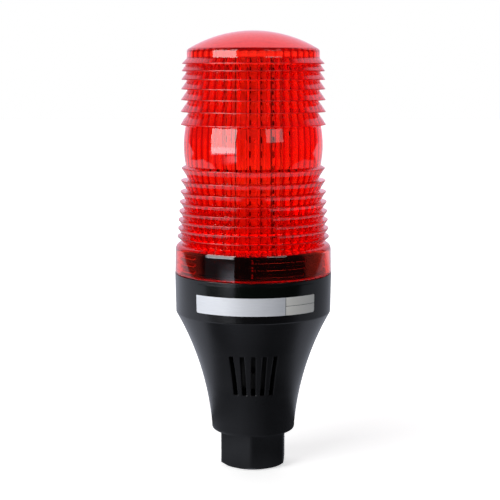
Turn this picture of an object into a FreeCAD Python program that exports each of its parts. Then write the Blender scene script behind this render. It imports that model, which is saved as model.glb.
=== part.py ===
import FreeCAD
import Part
import math
import os

# Strobe beacon: a red ringed lens that twist-locks onto a black bell-shaped base with an LED tower inside.
# Millimetres. The origin is the centre of the neck's lower face, +Z is up, the labelled front faces -Y.

V = FreeCAD.Vector
AXIS = V(0, 0, 0)
UP = V(0, 0, 1)

# Base housing
NECK_FLAT = 14.1
NECK_EDGE = 2.2
NECK_TURN = -4.0
NECK_END_R = 14.3
NECK_END_SLOPE = 0.58
NECK_H = 15.5
POLE_R = 10.48
POLE_DEPTH = 13.0
LEAD_HOLE_R = 7.5
FLOOR_Z = 18.0
FOOT_ROUND = 1.2
FLARE_R = 130.0
FLARE_CENTRE_R = 148.3
FLARE_CENTRE_Z = 7.1
BAND_Z = 70.4
BAND_TOP_R = 35.1
RIM_Z = 88.0
WALL = 2.4
SLOT_W = 2.0
SLOT_Z = (36.0, 54.4)
SLOT_ANGLES = (-21.2, -10.6, 0.0, 10.6, 21.2)

# Rating label
LABEL_T = 0.2
LABEL_Z = (73.9, 86.4)
LABEL_ANGLES = (-44.4, 48.6)
LABEL_CORNER = 0.8
GLUE = 0.02

# Lens mount ring and its twist lock
RING_Z = (80.0, 98.5)
RING_R = 31.6
RING_BORE = 29.4
FLANGE_R = 32.35
FLANGE_T = 2.0
RING_SCREW_R = 26.0
RING_SCREW_ANGLES = (90.0, 210.0, 330.0)
RING_LUG_T = 2.5
BOSS_R = 3.6
LOCK_ANGLES = (-91.0, -1.0, 89.0, 179.0)
LOCK_SWEEP = 42.0
LENS_LOCK_Z = (90.9, 94.0, 97.1)
LENS_LOCK_T = 1.4
RING_LOCK_Z = (92.45, 95.55)
RING_LOCK_T = 1.1
LOCK_GAP = 0.3

# Lens
LENS_Z = 88.3
COLLAR_R = 35.0
COLLAR_BORE = 33.0
COLLAR_ROOF_Z = 99.3
COLLAR_TOP_Z = 101.5
SHOULDER_R = 2.9
GROOVE_R = 31.5
LOW_FINS = 8
LOW_FIN_Z = 104.5
LOW_FIN_PITCH = (3.7, 0.05)
LOW_FIN_TIP = (33.88, 31.88)
LOW_FIN_SLOPE = 0.63
HIGH_FINS = 7
HIGH_FIN_Z = 180.8
HIGH_FIN_PITCH = (3.2, 0.49)
HIGH_FIN_TIP = (31.3, 32.1)
HIGH_FIN_SLOPE = 0.69
FIN_LAND = 0.35
WINDOW_Z = (136.0, 153.2)
WINDOW_R = 30.05
WINDOW_BULGE = 0.85
CAP_R = 29.27
CAP_Z = (182.9, 186.25)
DOME_R = 55.5
DOME_Z = 195.0
DOME_T = 2.3
FLUTES = 48
FLUTE_SAG = 0.6
BORE_R = (27.6, 26.6)

# Driver board and reflector tray
BOARD_R = 29.0
BOARD_Z = 88.0
BOARD_T = 1.6
STACK_SCREW_R = 23.5
STACK_SCREW_ANGLES = (30.0, 150.0, 270.0)
TRAY_Z = 97.0
TRAY_T = 1.4
TRAY_R = 29.0
TRAY_WAY_R = 4.0
POST_R = 3.0
SCREW_R = 1.45
SCREW_HOLE_R = 1.55
SCREW_HEAD_R = 2.7
SCREW_HEAD_H = 1.9

# LED tower
TOWER_HALF = 6.6
TOWER_WALL = 1.8
TOWER_TOP_Z = 178.0
TOWER_FOOT_R = 17.5
TOWER_FOOT_T = 2.0
TOWER_SCREW_R = 14.0
LED_BOARD_W = 11.0
LED_BOARD_Z = (101.0, 177.5)
LED_SIZE = 5.0
LED_H = 1.2
LED_LENS_R = 2.1
LED_LENS_H = 0.5
LED_ROWS = 8
LED_PITCH = 9.3
LED_FIRST_Z = 107.0
CHIP_SIZE = (0.6, 1.25, 2.0)
CHIP_AWAY = 4.5
SIDES = {"front": -90.0, "right": 0.0, "rear": 90.0, "left": 180.0}

# Sounder behind the slots
SOUNDER_Y = -9.0
SOUNDER_Z = 46.0
SOUNDER_R = 8.4
SOUNDER_H = 7.0
SOUNDER_PLATE = (22.0, 1.5, 20.0)
RAIL_T = 2.2
RAIL_CLEAR = 0.2


class Outline:
    """A closed outline in the XZ plane, drawn with straight and round stretches."""

    def __init__(self, r, z):
        self.start = V(r, 0, z)
        self.end = self.start
        self.edges = []

    def line(self, r, z):
        point = V(r, 0, z)
        self.edges.append(Part.LineSegment(self.end, point).toShape())
        self.end = point

    def arc(self, middle, end):
        point = V(end[0], 0, end[1])
        self.edges.append(Part.Arc(self.end, V(middle[0], 0, middle[1]), point).toShape())
        self.end = point

    def turned(self, sweep=360.0):
        """The solid of revolution of the outline about Z."""
        self.line(self.start.x, self.start.z)
        return Part.Face(Part.Wire(self.edges)).revolve(AXIS, UP, sweep)


def box(x, y, z, place=(0, 0, 0)):
    """A block centred on its place in X and Y, standing on it in Z."""
    return Part.makeBox(x, y, z, V(place[0] - x / 2, place[1] - y / 2, place[2]))


def rod(r, h, place=(0, 0, 0)):
    return Part.makeCylinder(r, h, V(*place))


def pipe(outer, inner, z0, z1):
    return rod(outer, z1 - z0, (0, 0, z0)).cut(rod(inner, z1 - z0, (0, 0, z0)))


def turn(shape, angle):
    copy = shape.copy()
    copy.rotate(AXIS, UP, angle)
    return copy


def moved(shape, x, y, z):
    copy = shape.copy()
    copy.translate(V(x, y, z))
    return copy


def spread(shape, angles):
    """Copies of a shape turned to each angle about Z."""
    return [turn(shape, a) for a in angles]


def joined(first, others):
    return first.fuse(others).removeSplitter()


def group(shapes):
    """Like solids that share one node."""
    return Part.makeCompound(shapes)


def sector(r0, r1, z0, z1, start, sweep):
    """A piece of a ring between two radii, from a start angle."""
    outline = Outline(r0, z0)
    outline.line(r1, z0)
    outline.line(r1, z1)
    outline.line(r0, z1)
    return turn(outline.turned(sweep), start)


def screw(head_z, length):
    """Pan-head screw whose head stands on head_z and whose shank points down."""
    shank = rod(SCREW_R, length, (0, 0, head_z - length))
    head = rod(SCREW_HEAD_R, SCREW_HEAD_H, (0, 0, head_z))
    rim = [e for e in head.Edges if e.BoundBox.ZMin > head_z + SCREW_HEAD_H - 0.01]
    head = head.makeFillet(0.7, rim)
    cross = box(3.0, 0.7, 1.0, (0, 0, head_z + SCREW_HEAD_H - 0.9))
    return head.fuse(shank).cut([cross, turn(cross, 90)]).removeSplitter()


def flare_r(z, inset=0.0):
    """Radius of the concave flare at a height, or of a surface set in from it."""
    return FLARE_CENTRE_R - math.sqrt((FLARE_R + inset) ** 2 - (z - FLARE_CENTRE_Z) ** 2)


def band_r(z):
    """Radius of the slightly drafted band at a height."""
    foot = flare_r(BAND_Z)
    return foot + (BAND_TOP_R - foot) * (z - BAND_Z) / (RIM_Z - BAND_Z)


def sounder_rails():
    """Two moulded channels that the sounder's plate slides down into."""
    plate_w, plate_t, plate_h = SOUNDER_PLATE
    foot = SOUNDER_Z - plate_h / 2
    rails = []
    for side in (-1, 1):
        x = side * (plate_w / 2)
        rail = box(RAIL_T * 2, plate_t + 2 * RAIL_T, foot + 14 - FLOOR_Z, (x, SOUNDER_Y, FLOOR_Z))
        groove = box(RAIL_T * 2, plate_t + 2 * RAIL_CLEAR, plate_h, (x - side * RAIL_T, SOUNDER_Y, foot))
        rails.append(rail.cut(groove))
    return rails


def neck():
    """Six-sided neck with rounded upright edges, its lower end turned to a cone as on a nut."""
    corner = NECK_FLAT / math.cos(math.pi / 6)
    angles = [math.radians(NECK_TURN - 90 + 60 * i) for i in range(7)]
    outline = Part.makePolygon([V(corner * math.cos(a), corner * math.sin(a), 0) for a in angles])
    height = NECK_H + FOOT_ROUND
    body = Part.Face(outline).extrude(V(0, 0, height))
    upright = [e for e in body.Edges if abs(e.Vertexes[0].Z - e.Vertexes[1].Z) > 1]
    body = body.makeFillet(NECK_EDGE, upright)
    return body.common(Part.makeCone(NECK_END_R, NECK_END_R + height / NECK_END_SLOPE, height))


def base_housing():
    """One moulding: pole neck, concave bell, straight band, five slots and inner screw bosses."""
    foot_z = NECK_H + FOOT_ROUND
    foot_r = flare_r(foot_z)
    half = FOOT_ROUND * math.sqrt(0.5)
    outer = Outline(0, NECK_H)
    outer.line(foot_r - FOOT_ROUND, NECK_H)
    outer.arc((foot_r - FOOT_ROUND + half, foot_z - half), (foot_r, foot_z))
    middle = (foot_z + BAND_Z) / 2
    outer.arc((flare_r(middle), middle), (flare_r(BAND_Z), BAND_Z))
    outer.line(BAND_TOP_R, RIM_Z)
    outer.line(0, RIM_Z)
    top = BAND_Z + 1
    middle = (FLOOR_Z + top) / 2
    inner = Outline(0, FLOOR_Z)
    inner.line(flare_r(FLOOR_Z, WALL), FLOOR_Z)
    inner.arc((flare_r(middle, WALL), middle), (flare_r(top, WALL), top))
    inner.line(flare_r(top, WALL), RIM_Z + 1)
    inner.line(0, RIM_Z + 1)
    hollow = inner.turned()
    shell = joined(outer.turned(), [neck()]).cut(hollow)
    boss = rod(BOSS_R, RING_Z[0] - FLOOR_Z, (RING_SCREW_R, 0, FLOOR_Z))
    web = box(9.0, 2.0, RING_Z[0] - 2 - FLOOR_Z, (RING_SCREW_R + 4.5, 0, FLOOR_Z))
    bosses = spread(boss.fuse(web), RING_SCREW_ANGLES) + sounder_rails()
    fillers = [b.common(hollow) for b in bosses]
    pilots = spread(rod(SCREW_HOLE_R, 12, (RING_SCREW_R, 0, RING_Z[0] - 12)), RING_SCREW_ANGLES)
    slot = box(SLOT_W, 25, SLOT_Z[1] - SLOT_Z[0], (0, -27.5, SLOT_Z[0]))
    ways = [rod(POLE_R, POLE_DEPTH + 1, (0, 0, -1)), rod(LEAD_HOLE_R, FLOOR_Z, (0, 0, 1))]
    return joined(shell, fillers).cut(pilots + spread(slot, SLOT_ANGLES) + ways).removeSplitter()


def rating_label():
    """Thin foil that follows the band around the front."""
    z0, z1 = LABEL_Z
    outline = Outline(band_r(z0) + GLUE, z0)
    outline.line(band_r(z0) + GLUE + LABEL_T, z0)
    outline.line(band_r(z1) + GLUE + LABEL_T, z1)
    outline.line(band_r(z1) + GLUE, z1)
    foil = turn(outline.turned(LABEL_ANGLES[1] - LABEL_ANGLES[0]), LABEL_ANGLES[0] - 90)
    corners = [e for e in foil.Edges if e.Length < LABEL_T * 1.5]
    return foil.makeFillet(LABEL_CORNER, corners)


def lug(r, z0, z1, radius):
    """A rounded ear that reaches in from the ring's bore to a screw."""
    arm = box(RING_BORE + 1 - r, 2 * radius, z1 - z0, ((r + RING_BORE + 1) / 2, 0, z0))
    return arm.fuse(rod(radius, z1 - z0, (r, 0, z0)))


def mount_ring():
    """Black ring that carries the lens: a tube with lock ribs outside and screw lugs inside."""
    z0, z1 = RING_Z
    tube = pipe(RING_R, RING_BORE, z0, z1)
    extra = [pipe(FLANGE_R, RING_BORE, RIM_Z - FLANGE_T, RIM_Z)]
    extra += spread(lug(RING_SCREW_R, z0, z0 + RING_LUG_T, BOSS_R), RING_SCREW_ANGLES)
    extra += spread(lug(STACK_SCREW_R, BOARD_Z - 3, BOARD_Z, POST_R), STACK_SCREW_ANGLES)
    half = RING_LOCK_T / 2
    for z in RING_LOCK_Z:
        for start in LOCK_ANGLES:
            reach = COLLAR_BORE - LOCK_GAP
            extra.append(sector(RING_R - 0.5, reach, z - half, z + half, start, LOCK_SWEEP))
    holes = spread(rod(SCREW_HOLE_R, 40, (RING_SCREW_R, 0, 60)), RING_SCREW_ANGLES)
    holes += spread(rod(SCREW_HOLE_R, 40, (STACK_SCREW_R, 0, 60)), STACK_SCREW_ANGLES)
    return joined(tube, extra).cut(holes)


def ring_screws():
    one = moved(screw(RING_Z[0] + RING_LUG_T, 11), RING_SCREW_R, 0, 0)
    return group(spread(one, RING_SCREW_ANGLES))


def lens_seal():
    """Rubber ring around the foot of the spigot, inside the lens collar."""
    return pipe(COLLAR_BORE - LOCK_GAP, RING_R + 0.05, RIM_Z, RIM_Z + 1.5)


def low_fins():
    """Tip of each fin under the window, from the lowest: pitches grow upward, tips draw in."""
    first, growth = LOW_FIN_PITCH
    wide, narrow = LOW_FIN_TIP
    z = LOW_FIN_Z
    tips = []
    for i in range(LOW_FINS):
        tips.append((wide + (narrow - wide) * i / (LOW_FINS - 1), z))
        z += first + growth * i * i
    return tips


def high_fins():
    """Tip of each fin over the window, from the lowest: pitches shrink upward, tips draw in."""
    first, growth = HIGH_FIN_PITCH
    narrow, wide = HIGH_FIN_TIP
    z = HIGH_FIN_Z
    tips = []
    for i in range(HIGH_FINS):
        tips.append((narrow + (wide - narrow) * i / (HIGH_FINS - 1), z))
        z -= first + growth * i
    return tips[::-1]


def lens_outside():
    """Collar, ringed lower half, barrel window, ringed upper half and shallow dome, turned in one."""
    outline = Outline(0, LENS_Z)
    outline.line(COLLAR_R, LENS_Z)
    side = COLLAR_R - 0.1
    bend = COLLAR_TOP_Z - SHOULDER_R
    half = SHOULDER_R * math.sqrt(0.5)
    outline.line(side, bend)
    outline.arc((side - SHOULDER_R + half, bend + half), (side - SHOULDER_R, COLLAR_TOP_Z))
    tips = low_fins()
    for i, (tip_r, tip_z) in enumerate(tips):
        root_z = (tips[i - 1][1] if i else COLLAR_TOP_Z) + FIN_LAND
        root_r = tip_r - LOW_FIN_SLOPE * (tip_z - FIN_LAND - root_z) if i else GROOVE_R
        outline.line(root_r, root_z)
        outline.line(tip_r, tip_z - FIN_LAND)
        outline.line(tip_r, tip_z)
    outline.line(WINDOW_R, WINDOW_Z[0])
    middle = (WINDOW_Z[0] + WINDOW_Z[1]) / 2
    outline.arc((WINDOW_R + WINDOW_BULGE, middle), (WINDOW_R, WINDOW_Z[1]))
    tips = high_fins()
    for i, (tip_r, tip_z) in enumerate(tips):
        outline.line(tip_r, tip_z - FIN_LAND)
        outline.line(tip_r, tip_z)
        if i + 1 < HIGH_FINS:
            root_z = tips[i + 1][1] - 2 * FIN_LAND
            outline.line(tip_r - HIGH_FIN_SLOPE * (root_z - tip_z), root_z)
    outline.line(CAP_R, CAP_Z[0])
    outline.line(CAP_R, CAP_Z[1])
    centre = DOME_Z - DOME_R
    edge = CAP_R - 0.6
    outline.line(edge, centre + math.sqrt(DOME_R**2 - edge**2))
    outline.arc((edge / 2, centre + math.sqrt(DOME_R**2 - edge**2 / 4)), (0, DOME_Z))
    return outline.turned()


def fluted_wire(r, z):
    """A ring of arcs that all bulge inward, one for each flute; the middle of one faces the front."""
    step = 2 * math.pi / FLUTES
    crest = r * math.cos(step / 2) - FLUTE_SAG
    edges = []
    for k in range(FLUTES):
        a, b, m = (k - 0.5) * step, (k + 0.5) * step, k * step
        start = V(r * math.cos(a), r * math.sin(a), z)
        end = V(r * math.cos(b), r * math.sin(b), z)
        edges.append(Part.Arc(start, V(crest * math.cos(m), crest * math.sin(m), z), end).toShape())
    return Part.Wire(edges)


def lens():
    """Clear red moulding with vertical flutes inside and four groups of lock ribs in its collar."""
    wires = [fluted_wire(BORE_R[0], COLLAR_ROOF_Z - 0.5), fluted_wire(BORE_R[1], DOME_Z)]
    bore = Part.makeLoft(wires, True, True)
    cavity = bore.common(Part.makeSphere(DOME_R - DOME_T, V(0, 0, DOME_Z - DOME_R)))
    collar = rod(COLLAR_BORE, COLLAR_ROOF_Z - LENS_Z + 1, (0, 0, LENS_Z - 1))
    shell = lens_outside().cut([cavity, collar])
    half = LENS_LOCK_T / 2
    ribs = []
    for z in LENS_LOCK_Z:
        for start in LOCK_ANGLES:
            reach = RING_R + LOCK_GAP
            ribs.append(sector(reach, COLLAR_BORE + 0.5, z - half, z + half, start, LOCK_SWEEP))
    return shell.fuse(ribs)


def driver_board():
    disc = rod(BOARD_R, BOARD_T, (0, 0, BOARD_Z))
    return disc.cut(spread(rod(SCREW_HOLE_R, 9, (STACK_SCREW_R, 0, BOARD_Z - 3)), STACK_SCREW_ANGLES))


def reflector_tray():
    """White plate that closes the ring, on three posts, with bosses for the tower under it."""
    disc = rod(TRAY_R, TRAY_T, (0, 0, TRAY_Z))
    top = BOARD_Z + BOARD_T
    posts = spread(rod(POST_R, TRAY_Z - top, (STACK_SCREW_R, 0, top)), STACK_SCREW_ANGLES)
    posts += spread(rod(POST_R, 5, (TOWER_SCREW_R, 0, TRAY_Z - 5)), RING_SCREW_ANGLES)
    holes = spread(rod(SCREW_HOLE_R, 20, (STACK_SCREW_R, 0, top - 5)), STACK_SCREW_ANGLES)
    holes += spread(rod(SCREW_HOLE_R, 20, (TOWER_SCREW_R, 0, top - 5)), RING_SCREW_ANGLES)
    holes.append(rod(TRAY_WAY_R, 5, (0, 0, TRAY_Z - 2)))
    return joined(disc, posts).cut(holes)


def tray_screws():
    one = moved(screw(TRAY_Z + TRAY_T, 13), STACK_SCREW_R, 0, 0)
    return group(spread(one, STACK_SCREW_ANGLES))


def led_carrier():
    """Square hollow post on a round foot."""
    foot_z = TRAY_Z + TRAY_T
    side = 2 * TOWER_HALF
    post = box(side, side, TOWER_TOP_Z - foot_z, (0, 0, foot_z))
    body = joined(rod(TOWER_FOOT_R, TOWER_FOOT_T, (0, 0, foot_z)), [post])
    clear = side - 2 * TOWER_WALL
    holes = spread(rod(SCREW_HOLE_R, 20, (TOWER_SCREW_R, 0, foot_z - 5)), RING_SCREW_ANGLES)
    return body.cut(holes + [box(clear, clear, 120, (0, 0, foot_z - 5))])


def carrier_screws():
    one = moved(screw(TRAY_Z + TRAY_T + TOWER_FOOT_T, 7), TOWER_SCREW_R, 0, 0)
    return group(spread(one, RING_SCREW_ANGLES))


def led_board(side):
    z0, z1 = LED_BOARD_Z
    board = box(BOARD_T, LED_BOARD_W, z1 - z0, (TOWER_HALF + BOARD_T / 2, 0, z0))
    return turn(board, SIDES[side])


def led_row(side):
    """Square LEDs with round lenses, one above another on the face of a board."""
    face = TOWER_HALF + BOARD_T
    case = box(LED_H, LED_SIZE, LED_SIZE, (face + LED_H / 2, 0, -LED_SIZE / 2))
    bulb = Part.makeCylinder(LED_LENS_R, LED_LENS_H, V(face + LED_H, 0, 0), V(1, 0, 0))
    one = case.fuse(bulb)
    return group([turn(moved(one, 0, 0, LED_FIRST_Z + LED_PITCH * i), SIDES[side]) for i in range(LED_ROWS)])


def led_resistors():
    """Chip resistors in a row beside the LEDs of each board, two to an LED."""
    height, width, length = CHIP_SIZE
    chip = box(height, width, length, (TOWER_HALF + BOARD_T + height / 2, CHIP_AWAY, -length / 2))
    low = LED_FIRST_Z - LED_PITCH / 4
    row = [moved(chip, 0, 0, low + LED_PITCH / 2 * i) for i in range(2 * LED_ROWS)]
    return group([turn(c, a) for a in SIDES.values() for c in row])


def tower_cap():
    """Flat cap with a plug that closes the top of the post."""
    cap = box(19.0, 19.0, 2.0, (0, 0, TOWER_TOP_Z))
    cap = cap.makeFillet(3.0, [e for e in cap.Edges if abs(e.Length - 2.0) < 0.01])
    plug = 2 * (TOWER_HALF - TOWER_WALL) - 0.2
    return joined(cap, [box(plug, plug, 6, (0, 0, TOWER_TOP_Z - 6))])


def under_board(shape, x, y):
    """A part drawn upright on z = 0, hung upside down under the board."""
    copy = shape.copy()
    copy.rotate(AXIS, V(1, 0, 0), 180)
    return moved(copy, x, y, BOARD_Z)


def on_board(shape, x, y):
    return moved(shape, x, y, BOARD_Z + BOARD_T)


def transformer_core():
    """Two E-shaped ferrite halves read as one frame with two windows."""
    frame = box(20, 6, 17)
    windows = [box(4.4, 8, 11, (x, 0, 3)) for x in (-5.3, 5.3)]
    return under_board(frame.cut(windows), -6.5, 4.5)


def transformer_bobbin():
    tube = box(7.8, 8.0, 11.0, (0, 0, 3.0))
    flanges = [box(14.6, 14.0, 0.9, (0, 0, z)) for z in (3.0, 13.1)]
    return under_board(joined(tube, flanges).cut(box(6.2, 6.0, 20)), -6.5, 4.5)


def transformer_winding():
    coil = box(13.4, 12.8, 9.2, (0, 0, 3.9))
    return under_board(coil.cut(box(7.8, 8.0, 20)), -6.5, 4.5)


def electrolytic(r, h):
    """Sleeved can with a rolled groove near its foot."""
    outline = Outline(0, 0)
    outline.line(r, 0)
    outline.line(r, 1.6)
    outline.line(r - 0.4, 2.1)
    outline.line(r, 2.6)
    outline.line(r, h - 0.6)
    outline.line(r - 0.6, h)
    outline.line(0, h)
    return outline.turned()


def bulk_capacitor():
    return under_board(electrolytic(5.0, 20.0), 11.5, 9.5)


def smoothing_capacitor():
    return under_board(electrolytic(4.0, 12.0), 16.6, -1.5)


def film_capacitor():
    case = box(13, 5, 11)
    return under_board(case.makeFillet(0.5, case.Edges), -9.0, -9.5)


def bridge_rectifier():
    case = box(9, 7, 3.4)
    edges = [e for e in case.Edges if e.BoundBox.ZMin > 3.3]
    return under_board(case.makeChamfer(0.6, edges), 7.0, -5.0)


def fuse_can():
    can = rod(4.0, 8.0)
    return under_board(can.makeFillet(0.5, [e for e in can.Edges if e.BoundBox.ZMin > 7.9]), -18.5, -3.0)


def varistor():
    disc = Part.makeCylinder(5.0, 4.0, V(0, -2, 5.0), V(0, 1, 0))
    return under_board(disc.makeFillet(1.2, [disc.Edges[0], disc.Edges[2]]), 0.0, 16.5)


def terminal_block():
    """Three-way screw terminal with wire mouths facing the neck and screw wells at the side."""
    case = box(15.4, 8.0, 10.0)
    wells = [rod(1.9, 3.0, (x, -1.0, 7.0)) for x in (-5.1, 0, 5.1)]
    mouths = [box(3.2, 4.0, 4.0, (x, 3.0, 2.0)) for x in (-5.1, 0, 5.1)]
    return under_board(case.cut(wells + mouths), 8.0, -15.0)


def terminal_screws():
    head = rod(1.7, 1.6, (0, -1.0, 7.0)).cut(box(4.0, 0.6, 1.0, (0, -1.0, 8.0)))
    return group([under_board(head, 8.0 + x, -15.0) for x in (-5.1, 0, 5.1)])


def controller_chip():
    case = box(9.6, 6.4, 3.3)
    notch = rod(0.9, 1.0, (-4.8, 0, 2.8))
    return on_board(case.cut(notch), -8.0, 6.0)


def driver_transistor():
    case = box(6.5, 6.0, 2.3)
    tab = box(5.4, 3.2, 0.6, (0, 4.4, 0))
    return on_board(joined(case, [tab]), 3.0, -5.5)


def resistors():
    """Four axial resistors laid side by side."""
    one = Part.makeCylinder(1.2, 6.4, V(-3.2, 0, 1.2), V(1, 0, 0))
    one = one.makeFillet(0.4, [one.Edges[0], one.Edges[2]])
    return group([on_board(one, 8.5, y) for y in (2.0, 5.0, 8.0, 11.0)])


def led_connector():
    """Four-way header that feeds the tower through the tray."""
    case = box(10.2, 5.0, 5.6).cut(box(8.6, 3.4, 5.0, (0, 0, 1.2)))
    pins = [box(0.64, 0.64, 4.2, (x, 0, 1.0)) for x in (-3.81, -1.27, 1.27, 3.81)]
    return on_board(joined(case, pins), 0.0, -14.0)


def sounder_case():
    """Round piezo capsule on a square plate, with its sound hole toward the slots."""
    plate = box(*SOUNDER_PLATE, (0, SOUNDER_Y, SOUNDER_Z - SOUNDER_PLATE[2] / 2))
    can = Part.makeCylinder(SOUNDER_R, SOUNDER_H, V(0, SOUNDER_Y, SOUNDER_Z), V(0, -1, 0))
    hole = Part.makeCylinder(1.6, 3.0, V(0, SOUNDER_Y - SOUNDER_H + 2.5, SOUNDER_Z), V(0, -1, 0))
    return joined(plate, [can]).cut(hole)


PIECES = {
    "base_housing": base_housing,
    "rating_label": rating_label,
    "mount_ring": mount_ring,
    "ring_screws": ring_screws,
    "lens_seal": lens_seal,
    "lens": lens,
    "driver_board": driver_board,
    "reflector_tray": reflector_tray,
    "tray_screws": tray_screws,
    "led_carrier": led_carrier,
    "carrier_screws": carrier_screws,
    "led_resistors": led_resistors,
    "tower_cap": tower_cap,
    "transformer_core": transformer_core,
    "transformer_bobbin": transformer_bobbin,
    "transformer_winding": transformer_winding,
    "bulk_capacitor": bulk_capacitor,
    "smoothing_capacitor": smoothing_capacitor,
    "film_capacitor": film_capacitor,
    "bridge_rectifier": bridge_rectifier,
    "fuse_can": fuse_can,
    "varistor": varistor,
    "terminal_block": terminal_block,
    "terminal_screws": terminal_screws,
    "controller_chip": controller_chip,
    "driver_transistor": driver_transistor,
    "resistors": resistors,
    "led_connector": led_connector,
    "sounder_case": sounder_case,
}

os.makedirs("parts", exist_ok=True)
for name, make in PIECES.items():
    make().exportStep(f"parts/{name}.step")
for side in SIDES:
    led_board(side).exportStep(f"parts/led_board_{side}.step")
    led_row(side).exportStep(f"parts/leds_{side}.step")
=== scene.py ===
import bpy
import numpy as np
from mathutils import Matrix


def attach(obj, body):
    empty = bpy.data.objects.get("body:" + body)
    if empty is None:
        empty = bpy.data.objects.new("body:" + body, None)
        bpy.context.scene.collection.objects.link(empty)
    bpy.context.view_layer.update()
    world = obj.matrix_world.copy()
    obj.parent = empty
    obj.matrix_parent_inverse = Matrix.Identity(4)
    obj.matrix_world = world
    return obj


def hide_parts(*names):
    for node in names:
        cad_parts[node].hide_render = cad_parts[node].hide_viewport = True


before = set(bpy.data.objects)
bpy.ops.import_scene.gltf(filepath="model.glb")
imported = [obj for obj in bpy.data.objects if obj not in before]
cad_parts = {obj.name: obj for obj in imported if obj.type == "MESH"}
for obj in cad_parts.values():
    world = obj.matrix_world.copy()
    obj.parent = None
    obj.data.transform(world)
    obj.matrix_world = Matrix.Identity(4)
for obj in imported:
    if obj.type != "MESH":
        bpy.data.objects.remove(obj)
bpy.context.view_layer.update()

# Base housing: one injection moulding in black ABS whose mould was spark-eroded to a fine satin grain.
# A pole screws into the six-sided neck, the bell flares up to a straight band, and five slots in the front
# let the sounder be heard. Three posts inside take the lens ring's screws, and two rails hold the sounder.
MM = 0.001
LEAD_R, FLOOR_Z, WALL = 7.5, 18.0, 2.4
NECK_H, FOOT_Z, BAND_Z, RIM_Z = 16.1, 16.7, 70.4, 88.0
FLARE_R, FLARE_AXIS, FLARE_LEVEL = 130.0, 148.3, 7.1
BAND_TOP_R, BAND_BORE_R = 35.1, 32.56
LEAD_ROUND, FOOT_ROUND, BAND_ROUND, RIM_ROUND, FLOOR_ROUND = 0.15, 1.0, 0.3, 0.12, 0.5
SLOT_HALF, SLOT_LOW, SLOT_HIGH, SLOT_EDGE, SLOT_ROWS = 1.0, 36.0, 54.4, 0.22, 9
SLOT_PITCH, SLOT_CLEAR, SLOT_LEAST_R = 10.6, 1.5, 20.0
SLOT_ANGLES = SLOT_PITCH * np.arange(-2, 3) - 90
SLOT_COLUMNS = SLOT_HALF * np.array([-1.6, -1.3, -1.0, 1.0, 1.3, 1.6])
PLAIN_COLUMNS = 144


def linear(hex_colour):
    """sRGB hex to linear RGBA: the low end is divided by 12.92 and the rest follows the 2.4 power curve."""
    srgb = np.array([int(hex_colour[i:i + 2], 16) for i in (1, 3, 5)]) / 255
    return (*np.where(srgb <= 0.04045, srgb / 12.92, ((srgb + 0.055) / 1.055) ** 2.4), 1.0)


def add(tree, kind, inputs=None, **settings):
    """Adds a node, sets its own settings, and gives each named or numbered input a value or a link."""
    node = tree.nodes.new(kind)
    for name, value in settings.items():
        setattr(node, name, value)
    for name, value in (inputs or {}).items():
        if isinstance(value, bpy.types.NodeSocket):
            tree.links.new(value, node.inputs[name])
        else:
            node.inputs[name].default_value = value
    return node


def bare_material(name):
    """A new material with an empty node tree."""
    material = bpy.data.materials.new(name)
    material.use_nodes = True
    material.node_tree.nodes.clear()
    return material, material.node_tree


def solid(name, points, faces, material, crease=25.0):
    """A piece from points in millimetres: smooth, but sharp where faces meet above the crease angle."""
    mesh = bpy.data.meshes.new(name)
    mesh.from_pydata((np.asarray(points) * MM).tolist(), [], faces)
    mesh.polygons.foreach_set("use_smooth", np.ones(len(mesh.polygons), bool))
    mesh.set_sharp_from_angle(angle=np.radians(crease))
    mesh.materials.append(material)
    piece = bpy.data.objects.new(name, mesh)
    bpy.context.scene.collection.objects.link(piece)
    return piece


def rounded(corners, reach, steps=5):
    """An open polyline with each inner corner swapped for a quadratic curve that leaves its two sides at
    a distance reach from the corner, or at 0.3 of the shorter side. One more point half a reach beyond
    each end of the curve lets the flat beside it keep its own shading."""
    p = np.asarray(corners, float)
    mid, back, on = p[1:-1], p[:-2] - p[1:-1], p[2:] - p[1:-1]
    back_length, on_length = np.linalg.norm(back, axis=1), np.linalg.norm(on, axis=1)
    reach = np.minimum(np.broadcast_to(reach, len(mid)), 0.3 * np.minimum(back_length, on_length))
    a = (mid + back * (reach / back_length)[:, None])[:, None]
    b = (mid + on * (reach / on_length)[:, None])[:, None]
    mid = mid[:, None]
    s = np.linspace(0, 1, steps)[None, :, None]
    curve = (1 - s) ** 2 * a + 2 * s * (1 - s) * mid + s ** 2 * b
    curve = np.concatenate([1.5 * a - 0.5 * mid, curve, 1.5 * b - 0.5 * mid], axis=1)
    return np.concatenate([p[:1], curve.reshape(-1, 2), p[-1:]])


def ring_quads(rows, columns, closed):
    """Quads of a grid that wraps round in its columns, and in its rows too where the section is closed."""
    i, j = np.meshgrid(np.arange(rows if closed else rows - 1), np.arange(columns), indexing="ij")
    i1, j1 = (i + 1) % rows, (j + 1) % columns
    return np.stack([i * columns + j, i * columns + j1, i1 * columns + j1, i1 * columns + j], axis=-1)


def flare(z, inset=0.0):
    """Radius of the bell: an arc about a centre outside the bell, or one that is set in from it."""
    return FLARE_AXIS - np.sqrt((FLARE_R + inset) ** 2 - (np.asarray(z) - FLARE_LEVEL) ** 2)


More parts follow.
